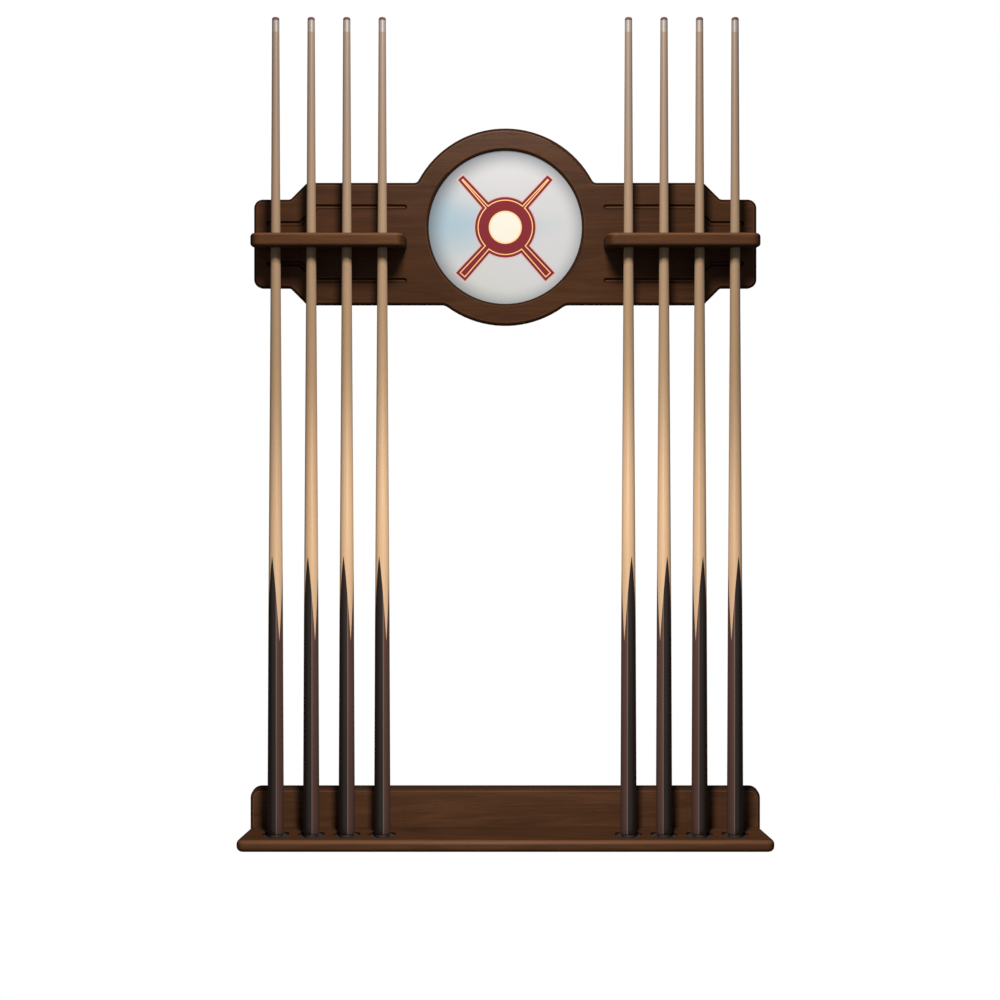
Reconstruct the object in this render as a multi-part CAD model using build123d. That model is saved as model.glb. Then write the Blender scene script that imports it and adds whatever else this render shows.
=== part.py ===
from build123d import *
import math
import os

# Wall cue rack: an upper board with a round mirror and two cue rails, a lower shelf with a back
# board, and eight cues. Millimetres. X runs along the wall, Z runs up, and the wall is the plane
# Y = 0. Everything stands out from the wall towards -Y, so a depth is how far a face is from it.

# ---- Stock and finish ----
board_thickness = 19.0          # both boards that lie on the wall
edge_round = 6.35               # roundover of the boards' front edges and of the rails
glue_gap = 0.05                 # all round a dowel, a screw in its pilot hole, or a glued tenon
end_room = 1.0                  # a bored hole is this much deeper than what goes into it
tolerance = 0.01                # two edges this close count as the same

# ---- Upper board ----
wing_line = -60.0               # height of the wings' centre line below the hangers
board_length = 914.0
wing_height = 222.6
end_height = 161.6
shoulder_in = 66.0              # from each end to where the shoulder starts
shoulder_angle = 45.0
end_corner_radius = 16.0
shoulder_radius = 9.0
ring_radius = 179.5
ring_rise = 30.7                # the ring's centre above the wing line
ring_top_fillet = 9.0
ring_bottom_fillet = 18.0
groove_inset = 44.5             # from the board's edge to the middle of a groove
groove_radius = 4.7
groove_inner_x = 183.0
groove_outer_x = 429.0

# ---- Mirror ----
mirror_lap = 12.3               # the ring's lip over the glass
opening_round = 5.0
lip_thickness = 9.0             # wood left in front of the glass
mirror_radius = 152.0
mirror_thickness = 3.0
backing_thickness = 3.0
mirror_gap = 1.0                # between the glass and the wall of its rabbet
clip_angles = [45, 135, 225, 315]
clip_thickness = 1.2
clip_width = 14.0
clip_reach_in = 7.0             # over the backing
clip_reach_out = 14.0           # over the board
clip_screw_out = 8.0            # from the rabbet's wall to the screw
clip_room = 2.0                 # all round a clip in its pocket
clip_pocket_in = 6.0            # the pocket's cut starts this far inside the rabbet
glass_edge = 0.8

# ---- Cue places ----
cue_pitch = 63.5
first_cue_x = 220.0
cue_depth = 64.0                # from the wall to a cue's axis
cue_xs = [first_cue_x + n * cue_pitch for n in range(4)]
rack_depth = 107.0              # from the wall to the front of the rails and of the shelf

# ---- Rails ----
rail_thickness = 24.4
rail_overhang = 41.25           # past the outer cue axes, both ways
rail_corner_radius = 19.0
rail_hole_play = 3.7            # a hole is this much wider than the thickest part of a cue
rail_hole_round = 2.0

# ---- Lower rack ----
shelf_top = -1118.5
shelf_thickness = 22.0
shelf_front_length = 955.0      # the shelf flares a little from the back board to its front
shelf_corner_radius = 13.0
shelf_round = 9.0
back_length = 927.0             # also the shelf's length where it meets the board
back_top = -1048.4
back_corner_radius = 19.0
cup_play = 17.7
cup_depth = 8.0
cup_round = 1.5
pad_thickness = 3.0
pad_gap = 0.3

# ---- Fasteners ----
screw_diameter = 4.0
screw_head_diameter = 8.0
screw_head_height = 2.4
screw_hole_gap = 0.25           # all round a screw in its clearance hole
rail_screw_length = 50.0
shelf_screw_length = 38.0
screw_sink = 0.6                # countersunk heads below the wall plane
dowel_diameter = 8.0
dowel_length = 40.0
dowel_in_board = 12.0
dowel_chamfer = 0.8
rail_dowel_in = 21.5            # from each end of a rail
shelf_dowel_in = 23.5           # from each end of the back board to the outermost dowel
shelf_dowel_middle_xs = [60.0, 190.0]
shelf_screw_inner_x = 125.0
small_screw_diameter = 3.0
small_head_diameter = 6.4
small_head_height = 1.8
small_screw_length = 12.0
small_head_round = 0.6          # shares of the head's height
recess_depth = 0.6
recess_reach = 0.55             # shares of the head's width
recess_width = 0.13
screw_point_radius = 0.3

# ---- Hangers ----
hanger_spacing = 406.4
hanger_width = 16.0
hanger_below = 20.0             # below the keyhole's round end
hanger_above = 30.0
hanger_thickness = 2.0
hanger_corner_radius = 3.0
hanger_entry_radius = 5.0
hanger_slot_radius = 2.6
hanger_slot_rise = 12.0
hanger_screw_inset = 7.0
hanger_screw_length = 14.0
hanger_cavity_radius = 6.5
hanger_cavity_depth = 8.0
lower_hanger_z = -1086.0

# ---- Cues ----
cue_length = 1464.0
tip_diameter = 13.0
tip_height = 6.0
tip_round = 4.0
ferrule_height = 21.0
ferrule_tenon_diameter = 8.0
ferrule_tenon_height = 15.0
tenon_room = 0.5                # left at the end of a tenon's bore
tenon_root = 1.0                # how far a tenon starts inside its own piece
taper_start = 273.0             # from the tip to where the shaft starts to swell faster
taper_start_diameter = 15.5
taper_end = 1078.0
taper_end_diameter = 26.0
butt_diameter = 29.3
splice_tips = 961.0             # from the tip of the cue to the tips of the dark points
splice_length = 152.0
splice_stop = 2.0               # the maple fins stop this far short of a knife edge
splice_overrun = 1.02           # the cutting wedge passes out through the cue's side
splice_points = 3
splice_turn = 38.0              # from straight ahead to the nearest maple point
butt_edge_round = 3.0
bumper_diameter = 25.0
bumper_height = 6.0
bumper_round = 2.5
bumper_plug_diameter = 10.0
bumper_plug_length = 10.0

# ---- Heights that follow ----
pad_top = shelf_top - cup_depth + pad_thickness
cue_bottom = pad_top
shelf_middle = shelf_top - shelf_thickness / 2
rail_length = 3 * cue_pitch + 2 * rail_overhang
rail_middle_x = first_cue_x + 1.5 * cue_pitch
rabbet_radius = mirror_radius + mirror_gap
ring_z = wing_line + ring_rise
glass_front = board_thickness - lip_thickness
glass_back = glass_front - mirror_thickness
backing_back = glass_back - backing_thickness
opening_radius = mirror_radius - mirror_lap
rail_hole_diameter = butt_diameter + rail_hole_play
cup_diameter = butt_diameter + cup_play


# ---- Shapes used by more than one piece ----
standing = (Align.CENTER, Align.CENTER, Align.MIN)
hanging = (Align.CENTER, Align.CENTER, Align.MAX)


def slab(outline, back, front):
    """An outline in X and Z made solid between two depths from the wall."""
    return extrude(Plane.XZ.offset(back) * outline, amount=front - back)


def peg(x, z, radius, back, front):
    """A round bar that stands straight out from the wall."""
    return slab(Pos(x, z) * Circle(radius), back, front)


def out_of_wall(x, depth, z):
    """A place on the wall for a shape made along its own +Z, turned to point out of the wall."""
    return Plane(origin=(x, -depth, z), x_dir=(1, 0, 0), z_dir=(0, -1, 0))


def solids_group(shapes):
    """Several separate solids kept as one piece."""
    return Compound(children=[solid for shape in shapes for solid in shape.solids()])


def front_edges(board):
    """The edges that lie in a board's front face."""
    return board.edges().filter_by_position(Axis.Y, -board_thickness - tolerance, -board_thickness + tolerance)


def circles(edges, radius):
    """The round ones of this radius."""
    return [edge for edge in edges.filter_by(GeomType.CIRCLE) if abs(edge.radius - radius) < tolerance]


def free_edges(body):
    """The top and bottom edges of what stands out from a board, without those against the board."""
    faces = body.faces().sort_by(Axis.Z)
    return [edge for edge in faces[0].edges() + faces[-1].edges() if edge.center().Y < -board_thickness - tolerance]


def cross_recess(head_diameter, head_height):
    """The cross that a screwdriver turns, cut down from the head's top."""
    arm = Box(head_diameter * recess_reach, head_diameter * recess_width, head_height * recess_depth, align=standing)
    return arm + Rot(0, 0, 90) * arm


def countersunk_screw(length):
    """A flat-head wood screw, head at Z = 0 and point at Z = length."""
    point_height = screw_diameter
    shank_height = length - screw_head_height - point_height
    shank = Pos(0, 0, screw_head_height) * Cylinder(
        screw_diameter / 2, shank_height, align=standing
    )
    point = Pos(0, 0, screw_head_height + shank_height) * Cone(
        screw_diameter / 2, screw_point_radius, point_height, align=standing
    )
    return countersink() + shank + point - cross_recess(screw_head_diameter, screw_head_height)


def countersink():
    """The cone of a flat head and of the hollow that it sits in, its wide end at Z = 0."""
    return Cone(screw_head_diameter / 2, screw_diameter / 2, screw_head_height, align=standing)


def screw_seat(board_depth):
    """What is cut from a board for a countersunk screw that passes through it."""
    radius = screw_diameter / 2 + screw_hole_gap
    shank = Cylinder(radius, board_depth, align=standing)
    mouth = Cylinder(screw_head_diameter / 2, screw_sink, align=standing)
    return shank + Pos(0, 0, screw_sink) * countersink() + mouth


def small_screw():
    """A pan-head screw, seat at Z = 0, head behind it and point at Z = its length."""
    head = Pos(0, 0, -small_head_height) * Cylinder(
        small_head_diameter / 2, small_head_height, align=standing
    )
    head = fillet(head.edges().sort_by(Axis.Z)[0], small_head_height * small_head_round)
    shank_height = small_screw_length - small_screw_diameter
    shank = Cylinder(small_screw_diameter / 2, shank_height, align=standing)
    point = Pos(0, 0, shank_height) * Cone(
        small_screw_diameter / 2, screw_point_radius, small_screw_diameter, align=standing
    )
    recess = Pos(0, 0, -small_head_height) * cross_recess(small_head_diameter, small_head_height)
    return head + shank + point - recess


def small_pilot(x, depth, z):
    """The pilot hole of a small screw whose seat is at this depth."""
    radius = small_screw_diameter / 2 + glue_gap
    return peg(x, z, radius, depth - tolerance, depth + small_screw_length + end_room)


# ---- Where the fasteners go ----
rail_screw_xs = [rail_middle_x + n * cue_pitch for n in (-1, 0, 1)]
rail_dowel_reach = rail_length / 2 - rail_dowel_in
rail_dowel_xs = [rail_middle_x - rail_dowel_reach, rail_middle_x + rail_dowel_reach]
between_cues = [x + cue_pitch / 2 for x in cue_xs[::2]]
shelf_screw_xs = [side * x for side in (-1, 1) for x in [shelf_screw_inner_x] + between_cues]
one_side = shelf_dowel_middle_xs + [rail_middle_x, back_length / 2 - shelf_dowel_in]
shelf_dowel_xs = [side * x for side in (-1, 1) for x in one_side]


# ---- Hangers ----
def keyhole():
    """The keyhole's outline: a round entry and a narrow slot that rises from it."""
    slot = Pos(0, hanger_slot_rise / 2) * Rectangle(2 * hanger_slot_radius, hanger_slot_rise)
    end = Pos(0, hanger_slot_rise) * Circle(hanger_slot_radius)
    return Circle(hanger_entry_radius) + slot + end


def hanger_outline():
    """The plate's outline about the keyhole's round entry."""
    height = hanger_below + hanger_above
    middle = (hanger_above - hanger_below) / 2
    return Pos(0, middle) * RectangleRounded(hanger_width, height, hanger_corner_radius)


def hanger_screw_heights():
    """The two screws of a plate, above and below its keyhole."""
    return [hanger_screw_inset - hanger_below, hanger_above - hanger_screw_inset]


def hanger(x, z):
    """A keyhole plate, flush with the back of the board."""
    plate = slab(Pos(x, z) * (hanger_outline() - keyhole()), 0, hanger_thickness)
    for rise in hanger_screw_heights():
        plate -= out_of_wall(x, 0, z + rise) * countersink()
        plate -= peg(x, z + rise, screw_diameter / 2 + glue_gap, 0, hanger_thickness)
    return plate


def hanger_pocket(x, z):
    """What is cut from the back of a board to let a plate in flush, with room for a wall screw's head."""
    pocket = slab(Pos(x, z) * hanger_outline(), 0, hanger_thickness)
    rise = hanger_slot_rise + 2 * hanger_cavity_radius
    cavity = Rot(0, 0, 90) * SlotOverall(rise, 2 * hanger_cavity_radius)
    pocket += slab(Pos(x, z + hanger_slot_rise / 2) * cavity, 0, hanger_thickness + hanger_cavity_depth)
    pilot_radius = screw_diameter / 2 + glue_gap
    for screw_rise in hanger_screw_heights():
        pocket += out_of_wall(x, 0, z + screw_rise) * countersink()
        pocket += peg(x, z + screw_rise, pilot_radius, 0, hanger_screw_length + end_room)
    return pocket


def hangers(z):
    """The pair of plates of one board."""
    return solids_group([hanger(side * hanger_spacing / 2, z) for side in (-1, 1)])


def hanger_screws(z):
    """The four short screws of one board's pair of plates."""
    screw = countersunk_screw(hanger_screw_length)
    places = [(side * hanger_spacing / 2, z + rise) for side in (-1, 1) for rise in hanger_screw_heights()]
    return solids_group([out_of_wall(x, 0.0, rise) * screw for x, rise in places])


# ---- Upper board ----
def upper_outline():
    """Two shouldered wings and the mirror's ring, with softened corners."""
    end_x = board_length / 2
    inner = wing_height / 2
    outer = end_height / 2
    shoulder_x = end_x - shoulder_in
    shoulder_run = (inner - outer) / math.tan(math.radians(shoulder_angle))
    quarter = [(end_x, outer), (shoulder_x, outer), (shoulder_x - shoulder_run, inner)]
    points = quarter + [(-x, z) for x, z in reversed(quarter)]
    points += [(-x, -z) for x, z in quarter] + [(x, -z) for x, z in reversed(quarter)]
    wings = make_face(Polyline(*points, close=True))
    ends = [v for v in wings.vertices() if abs(v.X) > end_x - 1]
    wings = fillet(ends, end_corner_radius)
    shoulders = [v for v in wings.vertices() if shoulder_x - inner < abs(v.X) < shoulder_x + 1]
    wings = fillet(shoulders, shoulder_radius)
    outline = wings + Pos(0, ring_rise) * Circle(ring_radius)
    for edge_z, radius in ((inner, ring_top_fillet), (-inner, ring_bottom_fillet)):
        meets = [v for v in outline.vertices() if abs(v.Y - edge_z) < tolerance and abs(v.X) < ring_radius]
        outline = fillet(meets, radius)
    return Pos(0, wing_line) * outline


def groove(side, up):
    """One round-nosed groove that follows the edge of a wing."""
    lean = groove_inset * math.tan(math.radians(shoulder_angle / 2))
    shoulder_x = board_length / 2 - shoulder_in - lean
    inner = wing_height / 2 - groove_inset
    outer = end_height / 2 - groove_inset
    route = [
        (groove_inner_x, inner),
        (shoulder_x - (inner - outer) / math.tan(math.radians(shoulder_angle)), inner),
        (shoulder_x, outer),
        (groove_outer_x, outer),
    ]
    corners = [Vector(side * x, -board_thickness, wing_line + up * z) for x, z in route]
    cut = None
    for start, end in zip(corners, corners[1:]):
        run = Plane(origin=start, z_dir=end - start) * Cylinder(
            groove_radius, (end - start).length, align=standing
        )
        cut = run if cut is None else cut + run
    for corner in corners:
        cut += Pos(*corner) * Sphere(groove_radius)
    return cut


def clip_place(angle, out):
    """A point beyond the rabbet's wall by this much, at this angle round the mirror."""
    reach = rabbet_radius + out
    return reach * math.cos(math.radians(angle)), ring_z + reach * math.sin(math.radians(angle))


def clip_strip(angle, inward, outward, width):
    """A strip that crosses the rabbet's wall, as an outline in X and Z."""
    x, z = clip_place(angle, (outward - inward) / 2)
    return Pos(x, z) * Rot(0, 0, angle) * Rectangle(inward + outward, width)


def upper_board():
    """The big board: outline, rounded edges, mirror opening, grooves and everything let in behind."""
    board = slab(upper_outline(), 0, board_thickness)
    board = fillet(front_edges(board), edge_round)
    board -= peg(0, ring_z, opening_radius, 0, board_thickness)
    board = fillet(circles(front_edges(board), opening_radius), opening_round)
    board -= peg(0, ring_z, rabbet_radius, 0, glass_front)
    for side in (-1, 1):
        for up in (-1, 1):
            board -= groove(side, up)
        for x in rail_screw_xs:
            board -= out_of_wall(side * x, 0, wing_line) * screw_seat(board_thickness)
        for x in rail_dowel_xs:
            radius = dowel_diameter / 2 + glue_gap
            deepest = board_thickness - dowel_in_board - end_room
            board -= peg(side * x, wing_line, radius, deepest, board_thickness)
        board -= hanger_pocket(side * hanger_spacing / 2, 0)
    for angle in clip_angles:
        pocket = clip_strip(angle, clip_pocket_in, clip_reach_out + clip_room, clip_width + 2 * clip_room)
        board -= slab(pocket, 0, backing_back)
        x, z = clip_place(angle, clip_screw_out)
        board -= small_pilot(x, backing_back - clip_thickness, z)
    return board


# ---- Mirror ----
def mirror():
    """The glass disc, its front edge ground off."""
    disc = peg(0, ring_z, mirror_radius, glass_back, glass_front)
    rim = disc.edges().sort_by(Axis.Y)[0]
    return chamfer(rim, glass_edge)


def mirror_backing():
    """The hardboard disc behind the glass."""
    return peg(0, ring_z, mirror_radius, backing_back, glass_back)


def mirror_clips():
    """Four steel clips that bridge from the board to the backing."""
    clips = []
    for angle in clip_angles:
        strip = clip_strip(angle, clip_reach_in, clip_reach_out, clip_width)
        x, z = clip_place(angle, clip_screw_out)
        strip -= Pos(x, z) * Circle(small_screw_diameter / 2 + screw_hole_gap)
        clips.append(slab(strip, backing_back - clip_thickness, backing_back))
    return solids_group(clips)


def mirror_clip_screws():
    """One screw through each clip."""
    screws = []
    for angle in clip_angles:
        x, z = clip_place(angle, clip_screw_out)
        screws.append(out_of_wall(x, backing_back - clip_thickness, z) * small_screw())
    return solids_group(screws)


# ---- Rails ----
def rail(side):
    """A rail with four holes, its front corners and its free edges rounded over."""
    depth = rack_depth - board_thickness
    middle_y = -(rack_depth + board_thickness) / 2
    plan = Rectangle(rail_length, depth)
    plan = fillet(plan.vertices().sort_by(Axis.Y)[:2], rail_corner_radius)
    underside = wing_line - rail_thickness / 2
    body = Pos(side * rail_middle_x, middle_y, underside) * extrude(plan, rail_thickness)
    body = fillet(free_edges(body), edge_round)
    for x in cue_xs:
        body -= Pos(side * x, -cue_depth, wing_line) * Cylinder(rail_hole_diameter / 2, 2 * rail_thickness)
    body = fillet(circles(body.edges(), rail_hole_diameter / 2), rail_hole_round)
    for x in rail_screw_xs:
        reach = screw_sink + rail_screw_length + end_room
        body -= peg(side * x, wing_line, screw_diameter / 2 + glue_gap, board_thickness, reach)
    for x in rail_dowel_xs:
        reach = board_thickness - dowel_in_board + dowel_length + end_room
        body -= peg(side * x, wing_line, dowel_diameter / 2 + glue_gap, board_thickness, reach)
    return body


def rail_screws():
    """Three screws into each rail from behind the board."""
    screw = countersunk_screw(rail_screw_length)
    xs = [side * x for side in (-1, 1) for x in rail_screw_xs]
    return solids_group([out_of_wall(x, screw_sink, wing_line) * screw for x in xs])


def dowel():
    """A beech dowel with chamfered ends, starting at Z = 0."""
    bar = Cylinder(dowel_diameter / 2, dowel_length, align=standing)
    return chamfer(bar.edges().filter_by(GeomType.CIRCLE), dowel_chamfer)


def dowels(xs, z):
    """Dowels across the joint between a board and what stands out from it."""
    return solids_group([out_of_wall(x, board_thickness - dowel_in_board, z) * dowel() for x in xs])


# ---- Lower rack ----
def lower_back_board():
    """The upright board behind the shelf, its upper corners rounded."""
    height = back_top - (shelf_top - shelf_thickness)
    outline = Pos(0, back_top - height / 2) * Rectangle(back_length, height)
    outline = fillet(outline.vertices().sort_by(Axis.Y)[-2:], back_corner_radius)
    board = slab(outline, 0, board_thickness)
    rounded = [edge for edge in front_edges(board) if edge.center().Z > back_top - height + tolerance]
    board = fillet(rounded, edge_round)
    for x in shelf_screw_xs:
        board -= out_of_wall(x, 0, shelf_middle) * screw_seat(board_thickness)
    for x in shelf_dowel_xs:
        deepest = board_thickness - dowel_in_board - end_room
        board -= peg(x, shelf_middle, dowel_diameter / 2 + glue_gap, deepest, board_thickness)
    for side in (-1, 1):
        board -= hanger_pocket(side * hanger_spacing / 2, lower_hanger_z)
    return board


def lower_shelf():
    """The shelf that carries the cues, with a shallow cup for each butt."""
    depth = rack_depth - board_thickness
    back_corners = [(back_length / 2, depth / 2), (-back_length / 2, depth / 2)]
    front_corners = [(-shelf_front_length / 2, -depth / 2), (shelf_front_length / 2, -depth / 2)]
    plan = make_face(Polyline(*back_corners, *front_corners, close=True))
    plan = fillet(plan.vertices().sort_by(Axis.Y)[:2], shelf_corner_radius)
    middle_y = -(rack_depth + board_thickness) / 2
    body = Pos(0, middle_y, shelf_top - shelf_thickness) * extrude(plan, shelf_thickness)
    body = fillet(free_edges(body), shelf_round)
    for side in (-1, 1):
        for x in cue_xs:
            cup = Cylinder(cup_diameter / 2, cup_depth, align=hanging)
            body -= Pos(side * x, -cue_depth, shelf_top) * cup
    rims = [edge for edge in circles(body.edges(), cup_diameter / 2) if edge.center().Z > shelf_top - tolerance]
    body = fillet(rims, cup_round)
    for x in shelf_screw_xs:
        reach = screw_sink + shelf_screw_length + end_room
        body -= peg(x, shelf_middle, screw_diameter / 2 + glue_gap, board_thickness, reach)
    for x in shelf_dowel_xs:
        reach = board_thickness - dowel_in_board + dowel_length + end_room
        body -= peg(x, shelf_middle, dowel_diameter / 2 + glue_gap, board_thickness, reach)
    return body


def cup_pads():
    """A felt disc in the bottom of each cup."""
    pad = Cylinder(cup_diameter / 2 - pad_gap, pad_thickness, align=hanging)
    return solids_group([Pos(side * x, -cue_depth, pad_top) * pad for side in (-1, 1) for x in cue_xs])


def shelf_screws():
    """Screws into the shelf from behind its back board."""
    screw = countersunk_screw(shelf_screw_length)
    return solids_group([out_of_wall(x, screw_sink, shelf_middle) * screw for x in shelf_screw_xs])


# ---- Cues, made upright about their own axis with the bottom at Z = 0 ----
def cue_radius(from_tip):
    """Half the cue's thickness at this distance from its tip."""
    stations = [
        (0.0, tip_diameter),
        (taper_start, taper_start_diameter),
        (taper_end, taper_end_diameter),
        (cue_length, butt_diameter),
    ]
    for (start, thin), (end, thick) in zip(stations, stations[1:]):
        if from_tip <= end:
            return (thin + (thick - thin) * (from_tip - start) / (end - start)) / 2
    return butt_diameter / 2


def turned(high, low):
    """The cue's tapered round between two distances from its tip."""
    breaks = [high] + [at for at in (taper_start, taper_end) if high < at < low] + [low]
    side = [(cue_radius(at), cue_length - at) for at in breaks]
    points = [(0, cue_length - high)] + side + [(0, cue_length - low)]
    return revolve(make_face(Plane.XZ * Polyline(*points, close=True)), Axis.Z)


def splice_wedges():
    """V-shaped prongs that start at the cue's axis and run out through its side, together all round."""
    rim = cue_radius(splice_tips)
    reach = butt_diameter
    spread = reach * math.tan(math.pi / splice_points)
    slope = Vector(rim, 0, splice_length)
    foot = cue_length - splice_tips - splice_length
    triangle = Pos(0, 0, foot) * make_face(Polyline((0, 0), (reach, spread), (reach, -spread), close=True))
    wedge = extrude(triangle, amount=slope.length * splice_overrun, dir=slope)
    return [Rot(0, 0, 360 * number / splice_points) * wedge for number in range(splice_points)]


def cue_tip():
    """The domed leather pad."""
    pad = turned(0, tip_height)
    return fillet(pad.edges().sort_by(Axis.Z)[-1], tip_round)


def cue_ferrule():
    """The white collar, bored for the tenon that the maple holds it by."""
    collar = turned(tip_height, tip_height + ferrule_height)
    bore_radius = ferrule_tenon_diameter / 2 + glue_gap
    bore = Cylinder(bore_radius, ferrule_tenon_height + tenon_room, align=standing)
    return collar - Pos(0, 0, cue_length - tip_height - ferrule_height) * bore


def cue_shaft():
    """The maple: a long taper with a tenon on top and fins spliced into the butt below."""
    shoulder = tip_height + ferrule_height
    wood = turned(shoulder, splice_tips + splice_length - splice_stop)
    for wedge in splice_wedges():
        wood -= wedge
    tenon = Cylinder(ferrule_tenon_diameter / 2, ferrule_tenon_height + tenon_root, align=standing)
    return wood + Pos(0, 0, cue_length - shoulder - tenon_root) * tenon


def cue_butt(shaft):
    """The dark wood, long prongs above and a rounded end with a bore for the bumper below."""
    wood = turned(splice_tips, cue_length - bumper_height)
    wood = fillet(wood.edges().filter_by(GeomType.CIRCLE).sort_by(Axis.Z)[0], butt_edge_round)
    bore_radius = bumper_plug_diameter / 2 + glue_gap
    bore = Cylinder(bore_radius, bumper_plug_length + tenon_room, align=standing)
    return wood - Pos(0, 0, bumper_height) * bore - shaft


def cue_bumper():
    """The rubber foot, pushed into the butt by its plug."""
    foot = Cylinder(bumper_diameter / 2, bumper_height, align=standing)
    foot = fillet(foot.edges().filter_by(GeomType.CIRCLE).sort_by(Axis.Z)[0], bumper_round)
    plug = Cylinder(bumper_plug_diameter / 2, bumper_plug_length + tenon_root, align=standing)
    return foot + Pos(0, 0, bumper_height - tenon_root) * plug


# ---- Write every piece ----
os.makedirs("parts", exist_ok=True)

rack_pieces = {
    "upper_board": upper_board(),
    "mirror": mirror(),
    "mirror_backing": mirror_backing(),
    "mirror_clips": mirror_clips(),
    "mirror_clip_screws": mirror_clip_screws(),
    "left_cue_rail": rail(-1),
    "right_cue_rail": rail(1),
    "rail_screws": rail_screws(),
    "rail_dowels": dowels([side * x for side in (-1, 1) for x in rail_dowel_xs], wing_line),
    "upper_hangers": hangers(0),
    "upper_hanger_screws": hanger_screws(0),
    "lower_back_board": lower_back_board(),
    "lower_shelf": lower_shelf(),
    "cup_pads": cup_pads(),
    "shelf_screws": shelf_screws(),
    "shelf_dowels": dowels(shelf_dowel_xs, shelf_middle),
    "lower_hangers": hangers(lower_hanger_z),
    "lower_hanger_screws": hanger_screws(lower_hanger_z),
}
for name, piece in rack_pieces.items():
    export_step(piece, f"parts/{name}.step")

maple = cue_shaft()
cue_pieces = {
    "tip": cue_tip(),
    "ferrule": cue_ferrule(),
    "shaft": maple,
    "butt": cue_butt(maple),
    "bumper": cue_bumper(),
}
cue_places = [-x for x in reversed(cue_xs)] + cue_xs
for number, x in enumerate(cue_places, start=1):
    # The nearest maple point turns towards the middle of the rack.
    towards_middle = -90 + math.copysign(splice_turn, -x) + 180 / splice_points
    for name, piece in cue_pieces.items():
        placed = Pos(x, -cue_depth, cue_bottom) * Rot(0, 0, towards_middle) * piece
        export_step(placed, f"parts/cue_{number}_{name}.step")
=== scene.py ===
import bpy
import math
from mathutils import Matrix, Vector


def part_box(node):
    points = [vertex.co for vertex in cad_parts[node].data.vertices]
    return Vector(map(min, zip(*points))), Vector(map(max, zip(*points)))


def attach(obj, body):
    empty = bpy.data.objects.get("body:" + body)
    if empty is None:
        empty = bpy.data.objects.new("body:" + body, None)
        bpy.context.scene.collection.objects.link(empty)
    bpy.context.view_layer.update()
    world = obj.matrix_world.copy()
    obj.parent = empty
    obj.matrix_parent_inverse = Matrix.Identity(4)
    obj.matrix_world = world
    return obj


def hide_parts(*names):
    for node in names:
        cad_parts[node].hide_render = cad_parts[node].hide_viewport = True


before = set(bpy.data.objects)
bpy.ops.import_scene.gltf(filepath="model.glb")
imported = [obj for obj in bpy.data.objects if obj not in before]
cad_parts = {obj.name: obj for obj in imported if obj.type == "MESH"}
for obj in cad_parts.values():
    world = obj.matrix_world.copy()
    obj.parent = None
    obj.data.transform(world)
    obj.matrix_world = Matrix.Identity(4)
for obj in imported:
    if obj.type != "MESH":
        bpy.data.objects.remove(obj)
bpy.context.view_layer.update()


# ---- Paint ----
# Every finish is mixed from noise and simple shapes, in the rack's own metres.
# Wire lets shader sockets be added and multiplied like numbers, and Paint makes the nodes.
class Wire:
    """One value in a finish."""

    def __init__(self, paint, socket):
        self.paint = paint
        self.socket = socket

    def __add__(self, other):
        return self.paint.sum("ADD", self, other)

    def __sub__(self, other):
        return self.paint.sum("SUBTRACT", self, other)

    def __mul__(self, other):
        return self.paint.sum("MULTIPLY", self, other)

    def __truediv__(self, other):
        return self.paint.sum("DIVIDE", self, other)

    def __neg__(self):
        return self * -1.0

    def __rsub__(self, other):
        return self.paint.sum("SUBTRACT", other, self)

    __radd__ = __add__
    __rmul__ = __mul__

    def abs(self):
        return self.paint.sum("ABSOLUTE", self)

    def sin(self):
        return self.paint.sum("SINE", self)

    def max(self, other):
        return self.paint.sum("MAXIMUM", self, other)

    def min(self, other):
        return self.paint.sum("MINIMUM", self, other)


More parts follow.
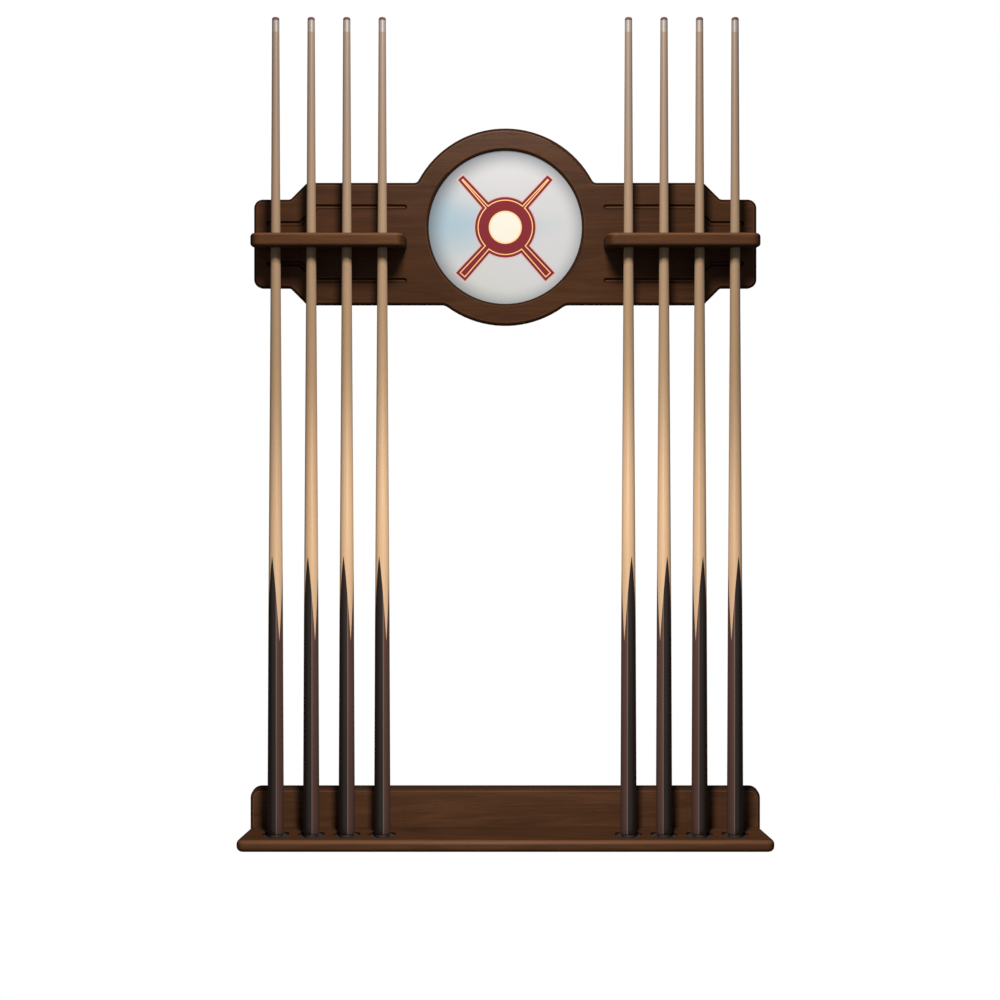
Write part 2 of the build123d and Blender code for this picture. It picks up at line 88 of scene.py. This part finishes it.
class Paint:
    """One finish, with its nodes."""

    def __init__(self, name):
        self.material = bpy.data.materials.new(name)
        self.material.use_nodes = True
        self.nodes = self.material.node_tree.nodes
        self.links = self.material.node_tree.links
        self.shader = self.nodes["Principled BSDF"]

    def node(self, kind, out=0, inputs=(), **settings):
        """Makes any node, sets it up, wires its inputs and returns one output."""
        made = self.nodes.new(kind)
        for key, value in settings.items():
            setattr(made, key, value)
        for key, value in dict(inputs).items():
            self.feed(made.inputs[key], value)
        return Wire(self, made.outputs[out])

    def feed(self, socket, value):
        """A wire is linked, anything else is set."""
        if isinstance(value, Wire):
            self.links.new(value.socket, socket)
        else:
            socket.default_value = value

    def sum(self, operation, *values):
        return self.node("ShaderNodeMath", inputs=enumerate(values), operation=operation)

    def place(self):
        """The point on the surface, in the rack's frame."""
        return self.node("ShaderNodeTexCoord", out="Object")

    def own(self, name, out="Vector"):
        """A value that the piece's own mesh carries."""
        return self.node("ShaderNodeAttribute", out=out, attribute_name=name)

    def axes(self, vector):
        """The three parts of a vector."""
        split = self.nodes.new("ShaderNodeSeparateXYZ")
        self.links.new(vector.socket, split.inputs[0])
        return [Wire(self, socket) for socket in split.outputs]

    def stretch(self, vector, scale, move=(0, 0, 0)):
        return self.node("ShaderNodeMapping", inputs={"Vector": vector, "Scale": scale, "Location": move})

    def noise(self, vector, scale=1.0, detail=2.0, rough=0.5, warp=0.0):
        return self.node("ShaderNodeTexNoise", inputs={
            "Vector": vector, "Scale": scale, "Detail": detail, "Roughness": rough, "Distortion": warp})

    def fade(self, value, low, high):
        """0 below low, 1 above high, smooth between."""
        return self.node("ShaderNodeMapRange", interpolation_type="SMOOTHSTEP", inputs={
            "Value": value, "From Min": low, "From Max": high})

    def mix(self, share, first, second):
        """First colour at 0, second at 1."""
        made = self.nodes.new("ShaderNodeMix")
        made.data_type = "RGBA"
        for socket, value in zip((made.inputs[0], made.inputs[6], made.inputs[7]), (share, first, second)):
            self.feed(socket, (*value, 1.0) if isinstance(value, tuple) else value)
        return Wire(self, made.outputs[2])

    def bump(self, height, strength, distance):
        return self.node("ShaderNodeBump", inputs={
            "Height": height, "Strength": strength, "Distance": distance})

    def finish(self, **inputs):
        """Feeds the shader: names as on the node, with underscores for spaces."""
        for key, value in inputs.items():
            value = (*value, 1.0) if isinstance(value, tuple) and len(value) == 3 else value
            self.feed(self.shader.inputs[key.replace("_", " ")], value)
        return self.material


def dress(node, material):
    """Gives a CAD piece its finish and smooths its round faces."""
    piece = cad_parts[node]
    piece.data.materials.clear()
    piece.data.materials.append(material)
    piece.data.shade_smooth()
    piece.data.set_sharp_from_angle(angle=math.radians(32))
    return piece


# ---- Upper board, rails, back board and shelf ----
# Solid hardwood boards, grain along the wall, stained dark walnut and sprayed with satin lacquer.
# The stain is a little warmer and lighter on the rails and on the lower half.
def walnut(name, shade, seed, flat_top):
    """Stained wood, its figure, grain and pores along X. A flat top's front edge gets a painted highlight,
    its underside painted shade, and its ends are darker as end grain and painted shade. A board's rounded
    edge gets painted shade with a painted highlight line inside it."""
    paint = Paint(name)
    place = paint.place()
    slow = paint.noise(paint.stretch(place, (3.0, 9.0, 11.0), (seed, seed, seed)), detail=2.0)
    figure = paint.noise(paint.stretch(place, (1.6, 14.0, 17.0), (seed, 2.0, seed)), detail=3.0, warp=0.6)
    rings = (figure * 46.0).sin() * 0.5 + 0.5
    grain = paint.noise(paint.stretch(place, (14.0, 330.0, 330.0), (seed, 0, 0)), detail=3.0, rough=0.6)
    pores = paint.noise(paint.stretch(place, (42.0, 1100.0, 1100.0), (0, seed, 0)), detail=1.0)
    pits = paint.fade(pores, 0.62, 0.74)
    tone = slow * 0.75 + rings * 0.22 + grain * 0.62 - 0.30
    colour = paint.mix(tone, tuple(c * 0.52 for c in shade), tuple(c * 1.55 for c in shade))
    colour = paint.mix(pits * 0.45, colour, tuple(c * 0.3 for c in shade))
    # Painted light, set by the way the surface faces: painted shade on the underside, the ends (also
    # darker end grain) and a board's rounded edges, and a painted highlight on the front edge or inside a
    # rounded edge.
    turn = paint.axes(paint.node("ShaderNodeNewGeometry", out="Normal"))
    if flat_top:
        painted_edge_shade = paint.fade(-turn[2], 0.1, 0.6).max(paint.fade(turn[0].abs(), 0.3, 0.8))
        painted_edge_highlight = paint.fade((-turn[1]).min(turn[2]), 0.2, 0.6)
    else:
        painted_edge_shade = 1.0 - paint.fade(-turn[1], 0.955, 0.985)
        painted_edge_highlight = paint.fade(-turn[1], 0.980, 0.992) - paint.fade(-turn[1], 0.9980, 0.9999)
    # Painted shade first, then the painted highlight.
    colour = paint.mix(painted_edge_shade * 0.68, colour, tuple(c * 0.3 for c in shade))
    colour = paint.mix(painted_edge_highlight * 0.65, colour, tuple(c * 2.3 for c in shade))
    height = grain * 0.6 - pits
    return paint.finish(
        Base_Color=colour,
        Roughness=0.36 + grain * 0.12 + pits * 0.15 + painted_edge_shade * 0.3,
        Specular_IOR_Level=0.06,
        Normal=paint.bump(height, 0.25, 0.0004),
    )


dress("upper_board", walnut("upper_walnut", (0.0475, 0.0182, 0.0070), 1.7, flat_top=False))
rail_wood = walnut("rail_walnut", (0.0720, 0.0298, 0.0124), 5.1, flat_top=True)
for node in ("left_cue_rail", "right_cue_rail"):
    dress(node, rail_wood)
dress("lower_back_board", walnut("back_walnut", (0.0570, 0.0238, 0.0108), 9.4, flat_top=False))
dress("lower_shelf", walnut("shelf_walnut", (0.0530, 0.0222, 0.0098), 12.6, flat_top=True))


# ---- Mirror ----
# A 12 inch disc of silvered glass with a painted soft cloudy reflection, printed with an emblem of crossed
# cues behind a ball. Four clips hold it in its rabbet, with a hardboard disc behind.
def mirror_paint():
    """Silver with a painted cloudy reflection and painted shade towards the rim, and a plain billiards
    emblem.
    """
    paint = Paint("mirror_glass")
    low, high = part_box("mirror")
    middle = [(a + b) / 2 for a, b in zip(low, high)]
    reach = (high[0] - low[0]) / 2
    place = paint.place()
    x, y, z = paint.axes(place)
    across = (x - middle[0]) / reach
    up = (z - middle[2]) / reach
    # Painted reflection: a blue cloud on the left and a warm one low down stand for what the mirror
    # reflects.
    cloud = paint.noise(paint.stretch(place, (5.0, 5.0, 9.0), (3.0, 0, 1.0)), detail=2.0)
    reflected_blue = paint.fade(0.55 - across * 0.5 - (up - 0.05).abs() * 1.1 + cloud * 0.5, 0.35, 1.1)
    silver = paint.mix(reflected_blue, (0.70, 0.69, 0.69), (0.45, 0.59, 0.67))
    reflected_warm = paint.fade(cloud * 0.8 - up - across * 0.4, 0.6, 1.5)
    silver = paint.mix(reflected_warm * 0.6, silver, (0.66, 0.67, 0.60))
    # Painted shade: the silver darkens towards the rim, most at the upper left.
    out = (across * across + up * up)
    shade = paint.fade(out + (up - across) * 0.07, 0.46, 1.02)
    silver = paint.mix(shade * 0.9, silver, (0.16, 0.18, 0.21))
    inside = None
    half_long, half_thick, taper, ball_radius = 0.80, 0.072, 0.020, 0.36
    for lean in (-42.0, 42.0):
        c, s = math.cos(math.radians(lean)), math.sin(math.radians(lean))
        along = across * s + up * c
        aside = across * c - up * s
        thick = half_thick - (along + half_long) * taper
        cue = (aside.abs() - thick).max(along.abs() - half_long)
        inside = cue if inside is None else inside.min(cue)
    from_middle = paint.sum("SQRT", out)
    inside = inside.min(from_middle - ball_radius)
    edge = 0.004
    outline = 0.016
    inline_in = 0.034
    spot_radius = 0.190
    pale = 1.0 - paint.fade(inside, outline, outline + edge)
    red = 1.0 - paint.fade(inside, 0.0, edge)
    line = paint.fade(0.0075 - (inside + inline_in).abs(), 0.0, edge)
    spot = 1.0 - paint.fade(from_middle, spot_radius, spot_radius + edge)
    ring = paint.fade(0.010 - (from_middle - spot_radius).abs(), 0.0, edge)
    silver = paint.mix(pale * 0.75, silver, (0.80, 0.52, 0.50))
    silver = paint.mix(red, silver, (0.17, 0.012, 0.018))
    silver = paint.mix(line, silver, (0.88, 0.52, 0.22))
    silver = paint.mix(spot, silver, (0.72, 0.66, 0.58))
    silver = paint.mix(ring, silver, (0.88, 0.52, 0.22))
    return paint.finish(
        Base_Color=silver, Metallic=0.8 - red * 0.7, Roughness=0.12, Specular_IOR_Level=0.2,
        Coat_Weight=0.2, Coat_Roughness=0.02,
    )


dress("mirror", mirror_paint())


# ---- Backing, clips, hangers and screws ----
# Brown hardboard behind the glass, zinc-plated clips and keyhole plates, black screws, beech dowels.
def plain(name, colour, rough, metal=0.0, grit=(900.0, 900.0, 900.0), spread=0.25, depth=0.0001):
    """A one-colour finish with fine mottling."""
    paint = Paint(name)
    speck = paint.noise(paint.stretch(paint.place(), grit), detail=2.0)
    dark = tuple(c * (1 - spread) for c in colour)
    light = tuple(min(1.0, c * (1 + spread)) for c in colour)
    return paint.finish(
        Base_Color=paint.mix(speck, dark, light),
        Roughness=rough + speck * 0.12,
        Metallic=metal,
        Normal=paint.bump(speck, 0.3, depth),
    )


dress("mirror_backing", plain("hardboard", (0.17, 0.1, 0.055), 0.7))
zinc = plain("zinc_plate", (0.55, 0.53, 0.48), 0.32, metal=1.0, grit=(300.0, 300.0, 1500.0))
for node in ("mirror_clips", "upper_hangers", "lower_hangers"):
    dress(node, zinc)
for node in ("mirror_clip_screws", "upper_hanger_screws", "lower_hanger_screws"):
    dress(node, zinc)
black_steel = plain("black_oxide", (0.02, 0.02, 0.022), 0.4, metal=0.9)
for node in ("rail_screws", "shelf_screws"):
    dress(node, black_steel)
beech = plain("beech", (0.55, 0.36, 0.2), 0.6, grit=(400.0, 60.0, 400.0))
for node in ("rail_dowels", "shelf_dowels"):
    dress(node, beech)
# The felt pads are near black, standing in for the shade inside each cup.
dress("cup_pads", plain("felt", (0.012, 0.011, 0.011), 0.9, depth=0.0006))


# ---- Cue tips, ferrules and bumpers ----
# A domed leather tip glued on an ivory-coloured ferrule, and a black rubber foot.
leather = plain("tip_leather", (0.085, 0.042, 0.034), 0.75, depth=0.0004)
ferrule = plain("ferrule", (0.225, 0.182, 0.152), 0.4, spread=0.05)
rubber = plain("rubber", (0.012, 0.012, 0.012), 0.6)
for number in range(1, 9):
    dress(f"cue_{number}_tip", leather)
    dress(f"cue_{number}_ferrule", ferrule)
    dress(f"cue_{number}_bumper", rubber)


# ---- Cue shafts and butts ----
# One-piece house cues, turned to a slow taper: pale maple above, and below it a dark butt whose three
# long points are spliced into the maple, with painted light on its side towards the rack's middle and
# painted shade on the other. Glossy lacquer over all.
def turned_tree(stations, foot_round, rings, sides):
    """Geometry that turns one cue: a line of rings, closer together round the foot."""
    tree = bpy.data.node_groups.new("turned_cue", "GeometryNodeTree")
    tree.interface.new_socket("Geometry", in_out="OUTPUT", socket_type="NodeSocketGeometry")
    for name in ("Axis X", "Axis Y", "Bottom", "Foot", "Shoulder", "Towards Middle", "Seed"):
        tree.interface.new_socket(name, in_out="INPUT", socket_type="NodeSocketFloat")
    tree.interface.new_socket("Finish", in_out="INPUT", socket_type="NodeSocketMaterial")
    entry = tree.nodes.new("NodeGroupInput")

    def add(kind, inputs=(), out=0, **settings):
        made = tree.nodes.new(kind)
        for key, value in settings.items():
            setattr(made, key, value)
        for key, value in dict(inputs).items():
            if isinstance(value, bpy.types.NodeSocket):
                tree.links.new(value, made.inputs[key])
            else:
                made.inputs[key].default_value = value
        return made.outputs[out]

    def sum_up(operation, *values):
        return add("ShaderNodeMath", enumerate(values), operation=operation)

    foot_rings = 8.0
    index = add("GeometryNodeInputIndex")
    share = sum_up("MINIMUM", sum_up("DIVIDE", index, foot_rings), 1.0)
    angle = sum_up("MULTIPLY", share, math.pi / 2)
    rise = sum_up("MULTIPLY", sum_up("SUBTRACT", 1.0, sum_up("COSINE", angle)), foot_round)
    inset = sum_up("MULTIPLY", sum_up("SUBTRACT", 1.0, sum_up("SINE", angle)), foot_round)
    above = sum_up("MAXIMUM", sum_up("SUBTRACT", index, foot_rings), 0.0)
    length = sum_up("SUBTRACT", entry.outputs["Shoulder"], entry.outputs["Foot"])
    straight = sum_up("SUBTRACT", length, foot_round)
    climb = sum_up("MULTIPLY", sum_up("DIVIDE", above, rings - 1 - foot_rings), straight)
    height = sum_up("ADD", sum_up("ADD", rise, climb), entry.outputs["Foot"])
    from_tip = sum_up("SUBTRACT", stations[-1][0], height)
    radius = stations[0][1]
    for (start, thin), (end, thick) in zip(stations, stations[1:]):
        run = sum_up("MINIMUM", sum_up("MAXIMUM", sum_up("SUBTRACT", from_tip, start), 0.0), end - start)
        radius = sum_up("ADD", sum_up("MULTIPLY", run, (thick - thin) / (end - start)), radius)
    radius = sum_up("SUBTRACT", radius, inset)
    line = add("GeometryNodeMeshLine", {"Count": rings})
    upright = add("ShaderNodeCombineXYZ", {"Z": height})
    line = add("GeometryNodeSetPosition", {"Geometry": line, "Position": upright})
    line = add("GeometryNodeStoreNamedAttribute", {
        "Geometry": line, "Name": "turned_radius", "Value": radius})
    curve = add("GeometryNodeMeshToCurve", {"Mesh": line})
    kept = add("GeometryNodeInputNamedAttribute", {"Name": "turned_radius"})
    circle = add("GeometryNodeCurvePrimitiveCircle", {"Resolution": sides, "Radius": 1.0})
    solid = add("GeometryNodeCurveToMesh", {
        "Curve": curve, "Profile Curve": circle, "Scale": kept, "Fill Caps": True})
    spot = tree.nodes.new("ShaderNodeSeparateXYZ")
    tree.links.new(add("GeometryNodeInputPosition"), spot.inputs[0])
    own = add("ShaderNodeCombineXYZ", {
        "X": sum_up("MULTIPLY", spot.outputs[0], entry.outputs["Towards Middle"]),
        "Y": sum_up("MULTIPLY", spot.outputs[1], -1.0),
        "Z": spot.outputs[2]})
    solid = add("GeometryNodeStoreNamedAttribute", {"Geometry": solid, "Name": "own", "Value": own},
                data_type="FLOAT_VECTOR")
    solid = add("GeometryNodeStoreNamedAttribute", {
        "Geometry": solid, "Name": "seed", "Value": entry.outputs["Seed"]})
    move = add("ShaderNodeCombineXYZ", {
        "X": entry.outputs["Axis X"], "Y": entry.outputs["Axis Y"], "Z": entry.outputs["Bottom"]})
    solid = add("GeometryNodeTransform", {"Geometry": solid, "Translation": move})
    solid = add("GeometryNodeSetShadeSmooth", {"Geometry": solid})
    solid = add("GeometryNodeRealizeInstances", {"Geometry": solid})
    solid = add("GeometryNodeSetMaterial", {"Geometry": solid, "Material": entry.outputs["Finish"]})
    leave = tree.nodes.new("NodeGroupOutput")
    tree.links.new(solid, leave.inputs[0])
    return tree


def grown(name, tree, **inputs):
    """One mesh made by a tree, with the tree's inputs set by name."""
    piece = bpy.data.objects.new(name, bpy.data.meshes.new(name))
    bpy.context.scene.collection.objects.link(piece)
    modifier = piece.modifiers.new("made", "NODES")
    modifier.node_group = tree
    sockets = {item.name: item.identifier for item in tree.interface.items_tree if item.in_out == "INPUT"}
    for key, value in inputs.items():
        modifier[sockets[key.replace("_", " ")]] = value
    bpy.context.view_layer.update()
    shape = bpy.data.meshes.new_from_object(piece.evaluated_get(bpy.context.evaluated_depsgraph_get()))
    piece.modifiers.clear()
    piece.data = shape
    shape.name = name
    return piece


def cue_wood(splice_top, splice_foot, splice_radius, splice_lean, points, light_split_lean):
    """Maple above, a dark butt below, parted by the long points of the splice. The butt is painted lit
    reddish brown towards the rack's middle and painted shade near black outwards, with a painted highlight
    line between them."""
    paint = Paint("cue_wood")
    own = paint.own("own")
    seed = paint.own("seed", out="Fac")
    inward, forward, height = paint.axes(own)
    shift = paint.node("ShaderNodeCombineXYZ", inputs={"X": seed, "Y": seed, "Z": seed})
    place = paint.node("ShaderNodeVectorMath", inputs={0: own, 1: shift}, operation="ADD")
    streak = paint.noise(paint.stretch(place, (420.0, 420.0, 7.0)), detail=3.0)
    broad = paint.noise(paint.stretch(place, (90.0, 90.0, 3.0)), detail=2.0)
    fleck = paint.fade(paint.noise(paint.stretch(place, (900.0, 900.0, 60.0)), detail=1.0), 0.62, 0.75)
    # Painted shade: the maple darkens higher up the shaft, evening out the lamp's light, which is stronger
    # near the tips.
    painted_shade_high = paint.fade(height, 0.85, 1.38)
    maple = paint.mix(painted_shade_high, (0.375, 0.250, 0.150), (0.215, 0.155, 0.118))
    maple = paint.mix((streak - 0.5) * 0.9 + (broad - 0.4) * 0.6, maple, (0.27, 0.155, 0.085))
    maple = paint.mix(fleck * 0.25, maple, (0.21, 0.12, 0.07))
    # Painted light on the butt: lit reddish brown towards the rack's middle, painted shade near black
    # outwards, and a painted highlight line between.
    light_split = inward - forward * light_split_lean
    painted_lit_side = paint.fade(light_split, -0.0002, 0.0002)
    dark = paint.mix(painted_lit_side, (0.009, 0.0075, 0.0062), (0.066, 0.034, 0.028))
    dark = paint.mix(streak * 0.6, dark, (0.022, 0.012, 0.010))
    painted_highlight_line = paint.fade(0.0008 - light_split.abs(), 0.0, 0.0004) * paint.fade(forward, 0.0, 0.001)
    dark = paint.mix(painted_highlight_line * 0.75, dark, (0.150, 0.100, 0.088))
    depth = (height - splice_foot) * (splice_radius / (splice_top - splice_foot))
    beyond = -1.0
    for number in range(points):
        turn = splice_lean + number * math.tau / points
        outward = inward * math.sin(turn) + forward * math.cos(turn)
        aside = (inward * math.cos(turn) - forward * math.sin(turn)).abs()
        beyond = ((outward - depth) * math.tan(math.pi / points) - aside).max(beyond)
    point = paint.fade(beyond, -0.00015, 0.00015)
    below = 1.0 - paint.fade(height, splice_foot, splice_foot + 0.0004)
    above = 1.0 - paint.fade(height, splice_top, splice_top + 0.0004)
    butt = (point * above).max(below)
    return paint.finish(
        Base_Color=paint.mix(butt, maple, dark),
        Roughness=0.34 - butt * 0.12 + streak * 0.06,
        Specular_IOR_Level=0.10,
        Coat_Weight=butt * 0.12,
        Coat_Roughness=0.12,
        Normal=paint.bump(streak, 0.12, 0.0002),
    )


cue_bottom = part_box("cue_1_bumper")[0][2]
cue_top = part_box("cue_1_tip")[1][2]
cue_long = cue_top - cue_bottom
butt_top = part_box("cue_1_butt")[1][2] - cue_bottom
splice_long = 0.152
stations = [(0.0, 0.0065), (0.273, 0.00775), (1.078, 0.0130), (cue_long, 0.01465)]
turned = turned_tree(stations, foot_round=0.003, rings=72, sides=56)
wood = cue_wood(
    butt_top, butt_top - splice_long, splice_radius=0.01224, splice_lean=math.radians(-22.0),
    points=3, light_split_lean=0.21,
)
for number in range(1, 9):
    low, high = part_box(f"cue_{number}_butt")
    axis_x = (low[0] + high[0]) / 2
    piece = grown(
        f"cue_{number}_turned_wood", turned,
        Axis_X=axis_x,
        Axis_Y=(low[1] + high[1]) / 2,
        Bottom=cue_bottom,
        Foot=low[2] - cue_bottom,
        Shoulder=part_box(f"cue_{number}_ferrule")[0][2] - cue_bottom,
        Towards_Middle=-math.copysign(1.0, axis_x),
        Seed=number * 0.37,
        Finish=wood,
    )
    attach(piece, f"cue_{number}")
    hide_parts(f"cue_{number}_shaft", f"cue_{number}_butt")


# ---- Light ----
# A soft lamp stands a little above and in front of each half, on the rack's centre line, so the
# cues' shadows fall outwards. The room is white to the eye and dim to the wood.
def lamp(name, kind, place, target, **settings):
    """One lamp turned towards its target, a little warmer than white."""
    light = bpy.data.lights.new(name, kind)
    light.color = (1.0, 0.96, 0.91)
    for key, value in settings.items():
        setattr(light, key, value)
    holder = bpy.data.objects.new(name, light)
    holder.location = place
    holder.rotation_euler = (Vector(target) - Vector(place)).to_track_quat("-Z", "Y").to_euler()
    bpy.context.scene.collection.objects.link(holder)


lamp("upper_lamp", "AREA", (0.0, -0.97, 0.56), (0.0, 0.0, -0.08), energy=20.0, size=0.26)
lamp(
    "lower_lamp", "SPOT", (0.0, -1.0, -0.48), (0.0, 0.0, -1.16),
    energy=58.0, shadow_soft_size=0.12, spot_size=math.radians(104), spot_blend=0.6,
)

world = bpy.data.worlds.new("room")
bpy.context.scene.world = world
world.use_nodes = True
sky = world.node_tree.nodes
wires = world.node_tree.links
background = sky["Background"]
path = sky.new("ShaderNodeLightPath")
heading = sky.new("ShaderNodeTexCoord")
parts = sky.new("ShaderNodeSeparateXYZ")
wires.new(heading.outputs["Generated"], parts.inputs[0])
ahead = sky.new("ShaderNodeMapRange")
ahead.interpolation_type = "SMOOTHSTEP"
ahead.inputs["From Min"].default_value = -0.35
ahead.inputs["From Max"].default_value = -0.95
ahead.inputs["To Min"].default_value = 0.06
ahead.inputs["To Max"].default_value = 0.85
wires.new(parts.outputs["Y"], ahead.inputs["Value"])
glossy = sky.new("ShaderNodeMix")
glossy.inputs[2].default_value = 0.17
wires.new(path.outputs["Is Glossy Ray"], glossy.inputs[0])
wires.new(ahead.outputs[0], glossy.inputs[3])
seen = sky.new("ShaderNodeMix")
wires.new(path.outputs["Is Camera Ray"], seen.inputs[0])
wires.new(glossy.outputs[0], seen.inputs[2])
seen.inputs[3].default_value = 1.0
wires.new(seen.outputs[0], background.inputs["Strength"])
background.inputs["Color"].default_value = (1.0, 1.0, 1.0, 1.0)


# ---- Camera ----
# Straight in front of the rack, level with the foot of the upper board, its lens shifted down.
camera = bpy.data.cameras.new("camera")
camera.lens = 55.96
camera.sensor_width = 36.0
camera.shift_y = -0.115
camera.clip_end = 100.0
holder = bpy.data.objects.new("camera", camera)
holder.location = (-0.0096, -2.842, -0.3166)
holder.rotation_euler = (math.radians(90), 0.0, 0.0)
bpy.context.scene.collection.objects.link(holder)
bpy.context.scene.camera = holder
bpy.context.scene.view_settings.view_transform = "Standard"
